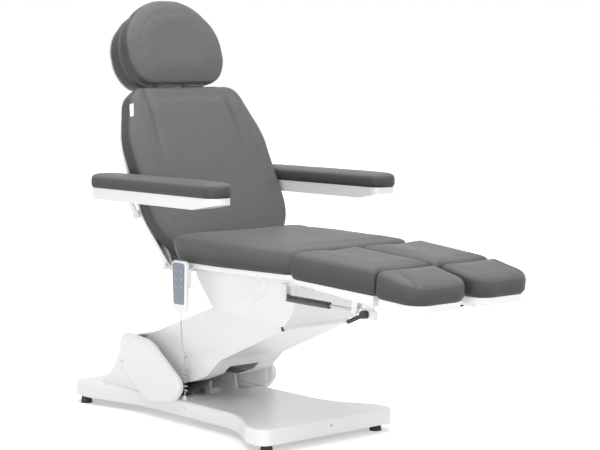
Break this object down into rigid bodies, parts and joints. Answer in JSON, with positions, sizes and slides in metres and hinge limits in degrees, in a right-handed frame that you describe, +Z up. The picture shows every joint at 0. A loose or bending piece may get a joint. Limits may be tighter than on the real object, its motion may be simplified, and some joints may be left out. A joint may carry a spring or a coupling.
{
  "type": "podiatry chair",
  "caption": "Podiatry treatment chair: padded seat, backrest, headrest and armrests, split leg rests with sliding foot pads, on a swinging lift arm and flat base.",
  "frame": {"origin": "on the floor, in the middle of the chair's length and width", "axes": "+Z up, -Y from the head towards the feet, +X to the sitter's left"},
  "size_m": [0.782, 1.7286, 1.3975],
  "materials": {
    "leatherette": "mid-grey leatherette, soft sheen",
    "white_shell": "white moulded shell",
    "white_paint": "white powder coat",
    "rubber": "black, matt",
    "black_plastic": "black",
    "black_steel": "black lacquer",
    "steel": "ground",
    "panel": "blue-grey foil",
    "keys": "blue-grey",
    "cord": "light grey"
  },
  "bodies": {
    "base": {"base_frame": "white_paint", "base_cover": "white_shell", "rubber_feet": "rubber", "tower_housing": "white_shell", "side_covers": "white_shell", "cover_screws": "steel", "control_box": "black_plastic"},
    "arm": {"arm_frame": "white_paint", "arm_cover": "white_shell", "arm_end_caps": "black_plastic"},
    "level_link": {"level_link": "white_paint"},
    "lift_motor": {"lift_motor": "black_plastic"},
    "lift_rod": {"lift_rod": "steel"},
    "carrier": {"seat_carrier": "white_paint"},
    "tilt_motor": {"tilt_motor": "black_plastic"},
    "tilt_rod": {"tilt_rod": "steel"},
    "seat": {"seat_frame": "white_paint", "seat_tray": "white_shell", "seat_cushion": "leatherette", "seat_housing": "white_shell", "handset_hook": "white_paint", "handset_case": "white_shell", "handset_panel": "panel"},
    "back_motor": {"back_motor": "black_plastic"},
    "back_rod": {"back_rod": "steel"},
    "back": {"back_frame": "white_paint", "back_shell": "white_shell", "back_cushion": "leatherette"},
    "headrest_slide": {"headrest_slide": "steel"},
    "headrest": {"headrest_shell": "white_shell", "headrest_cushion": "leatherette", "head_pillow": "leatherette"},
    "cord": {"handset_cord": "cord", "cord_curl": "cord"},
    "bracket_left": {"armrest_bracket_left": "white_paint"},
    "armrest_left": {"armrest_shell_left": "white_shell", "armrest_pad_left": "leatherette"},
    "calf_left": {"calf_tray_left": "white_shell", "calf_cushion_left": "leatherette"},
    "foot_left": {"foot_tray_left": "white_shell", "foot_cushion_left": "leatherette"},
    "spring_left": {"spring_cylinder_left": "black_steel"},
    "spring_rod_left": {"spring_rod_left": "steel"},
    "clamp_left": {"clamp_knob_left": "black_plastic"},
    "bracket_right": {"armrest_bracket_right": "white_paint"},
    "armrest_right": {"armrest_shell_right": "white_shell", "armrest_pad_right": "leatherette"},
    "calf_right": {"calf_tray_right": "white_shell", "calf_cushion_right": "leatherette"},
    "foot_right": {"foot_tray_right": "white_shell", "foot_cushion_right": "leatherette"},
    "spring_right": {"spring_cylinder_right": "black_steel"},
    "spring_rod_right": {"spring_rod_right": "steel"},
    "clamp_right": {"clamp_knob_right": "black_plastic"},
    "key_1": {"key_1": "keys"},
    "key_2": {"key_2": "keys"},
    "key_3": {"key_3": "keys"},
    "key_4": {"key_4": "keys"},
    "key_5": {"key_5": "keys"},
    "key_6": {"key_6": "keys"}
  },
  "joints": [
    {"name": "lift", "type": "hinge", "parent": "base", "child": "arm", "pos_m": [0, 0.5011, 0.2], "axis": [-1, 0, 0], "range_deg": [0, 28]},
    {"name": "level_link_turn", "type": "hinge", "parent": "base", "child": "level_link", "pos_m": [0, 0.4701, 0.1546], "axis": [-1, 0, 0], "range_deg": [0, 28]},
    {"name": "carrier_level", "type": "hinge", "parent": "arm", "child": "carrier", "pos_m": [0, -0.07898, 0.41458], "axis": [-1, 0, 0], "range_deg": [-28, 0]},
    {"name": "lift_motor_turn", "type": "hinge", "parent": "base", "child": "lift_motor", "pos_m": [0, 0.5311, 0.05], "axis": [-1, 0, 0], "range_deg": [0, 20.25]},
    {"name": "lift_rod_slide", "type": "slide", "parent": "lift_motor", "child": "lift_rod", "axis": [0, -0.8682, 0.4961], "range_m": [0, 0.04651]},
    {"name": "tilt", "type": "hinge", "parent": "carrier", "child": "seat", "pos_m": [0, 0.2011, 0.5], "axis": [-1, 0, 0], "range_deg": [0, 12]},
    {"name": "tilt_motor_turn", "type": "hinge", "parent": "carrier", "child": "tilt_motor", "pos_m": [0, -0.0189, 0.44], "axis": [-1, 0, 0], "range_deg": [0, 21.29]},
    {"name": "tilt_rod_slide", "type": "slide", "parent": "tilt_motor", "child": "tilt_rod", "axis": [0, -0.9466, 0.3225], "range_m": [0, 0.03365]},
    {"name": "recline", "type": "hinge", "parent": "seat", "child": "back", "pos_m": [0, 0.3061, 0.525], "axis": [-1, 0, 0], "range_deg": [0, 62]},
    {"name": "back_motor_turn", "type": "hinge", "parent": "seat", "child": "back_motor", "pos_m": [0, 0.0211, 0.497], "axis": [-1, 0, 0], "range_deg": [-11.57, 0]},
    {"name": "back_rod_slide", "type": "slide", "parent": "back_motor", "child": "back_rod", "axis": [0, 0.9919, -0.1267], "range_m": [-0.04555, 0]},
    {"name": "headrest_height", "type": "slide", "parent": "back", "child": "headrest_slide", "axis": [0, 0.4633, 0.8862], "range_m": [0, 0.08]},
    {"name": "headrest_tilt", "type": "hinge", "parent": "headrest_slide", "child": "headrest", "pos_m": [0, 0.62283, 1.12222], "axis": [1, 0, 0], "range_deg": [-30, 5]},
    {"name": "armrest_level_left", "type": "hinge", "parent": "back", "child": "bracket_left", "pos_m": [0.29, 0.39678, 0.69199], "axis": [-1, 0, 0], "range_deg": [-62, 0]},
    {"name": "armrest_flip_left", "type": "hinge", "parent": "bracket_left", "child": "armrest_left", "pos_m": [0.31, 0.4481, 0.759], "axis": [-1, 0, 0], "range_deg": [0, 90]},
    {"name": "leg_left", "type": "hinge", "parent": "seat", "child": "calf_left", "pos_m": [0.12, -0.3389, 0.515], "axis": [1, 0, 0], "range_deg": [0, 60]},
    {"name": "foot_extend_left", "type": "slide", "parent": "calf_left", "child": "foot_left", "axis": [0, -0.998, -0.0628], "range_m": [0, 0.08]},
    {"name": "spring_turn_left", "type": "hinge", "parent": "seat", "child": "spring_left", "pos_m": [0.2, -0.2589, 0.478], "axis": [1, 0, 0], "range_deg": [0, 48.42]},
    {"name": "spring_slide_left", "type": "slide", "parent": "spring_left", "child": "spring_rod_left", "axis": [0, -1, -0.0064], "range_m": [-0.06726, 0]},
    {"name": "clamp_turn_left", "type": "hinge", "parent": "calf_left", "child": "clamp_left", "pos_m": [0.22, -0.62869, 0.47072], "axis": [1, 0, 0], "range_deg": [0, 40]},
    {"name": "armrest_level_right", "type": "hinge", "parent": "back", "child": "bracket_right", "pos_m": [-0.29, 0.39678, 0.69199], "axis": [-1, 0, 0], "range_deg": [-62, 0]},
    {"name": "armrest_flip_right", "type": "hinge", "parent": "bracket_right", "child": "armrest_right", "pos_m": [-0.31, 0.4481, 0.759], "axis": [-1, 0, 0], "range_deg": [0, 90]},
    {"name": "leg_right", "type": "hinge", "parent": "seat", "child": "calf_right", "pos_m": [-0.12, -0.3389, 0.515], "axis": [1, 0, 0], "range_deg": [0, 60]},
    {"name": "foot_extend_right", "type": "slide", "parent": "calf_right", "child": "foot_right", "axis": [0, -0.998, -0.0628], "range_m": [0, 0.08]},
    {"name": "spring_turn_right", "type": "hinge", "parent": "seat", "child": "spring_right", "pos_m": [-0.2, -0.2589, 0.478], "axis": [1, 0, 0], "range_deg": [0, 48.42]},
    {"name": "spring_slide_right", "type": "slide", "parent": "spring_right", "child": "spring_rod_right", "axis": [0, -1, -0.0064], "range_m": [-0.06726, 0]},
    {"name": "clamp_turn_right", "type": "hinge", "parent": "calf_right", "child": "clamp_right", "pos_m": [-0.22, -0.62869, 0.47072], "axis": [1, 0, 0], "range_deg": [0, 40]},
    {"name": "key_1_press", "type": "slide", "parent": "seat", "child": "key_1", "axis": [1, 0, 0], "range_m": [0, 0.0008], "stiffness_N_per_m": 120},
    {"name": "key_2_press", "type": "slide", "parent": "seat", "child": "key_2", "axis": [1, 0, 0], "range_m": [0, 0.0008], "stiffness_N_per_m": 120},
    {"name": "key_3_press", "type": "slide", "parent": "seat", "child": "key_3", "axis": [1, 0, 0], "range_m": [0, 0.0008], "stiffness_N_per_m": 120},
    {"name": "key_4_press", "type": "slide", "parent": "seat", "child": "key_4", "axis": [1, 0, 0], "range_m": [0, 0.0008], "stiffness_N_per_m": 120},
    {"name": "key_5_press", "type": "slide", "parent": "seat", "child": "key_5", "axis": [1, 0, 0], "range_m": [0, 0.0008], "stiffness_N_per_m": 120},
    {"name": "key_6_press", "type": "slide", "parent": "seat", "child": "key_6", "axis": [1, 0, 0], "range_m": [0, 0.0008], "stiffness_N_per_m": 120},
    {"name": "cord_hang", "type": "hinge", "parent": "seat", "child": "cord", "pos_m": [-0.30875, 0.1301, 0.403], "axis": [-1, 0, 0], "range_deg": [-12, 0]}
  ],
  "couplings": [
    {"joint": "level_link_turn", "follows": "lift", "ratio": 1},
    {"joint": "carrier_level", "follows": "lift", "ratio": -1},
    {"joint": "lift_motor_turn", "follows": "lift", "ratio": 0.72304},
    {"joint": "lift_rod_slide", "follows": "lift", "m_per_rad": 0.095165},
    {"joint": "tilt_motor_turn", "follows": "tilt", "ratio": 1.7744},
    {"joint": "tilt_rod_slide", "follows": "tilt", "m_per_rad": 0.16067},
    {"joint": "back_motor_turn", "follows": "recline", "ratio": -0.1867},
    {"joint": "back_rod_slide", "follows": "recline", "m_per_rad": -0.04209},
    {"joint": "armrest_level_left", "follows": "recline", "ratio": -1},
    {"joint": "spring_turn_left", "follows": "leg_left", "ratio": 0.80705},
    {"joint": "spring_slide_left", "follows": "leg_left", "m_per_rad": -0.064231},
    {"joint": "armrest_level_right", "follows": "recline", "ratio": -1},
    {"joint": "spring_turn_right", "follows": "leg_right", "ratio": 0.80705},
    {"joint": "spring_slide_right", "follows": "leg_right", "m_per_rad": -0.064231},
    {"joint": "cord_hang", "follows": "tilt", "ratio": -1}
  ]
}
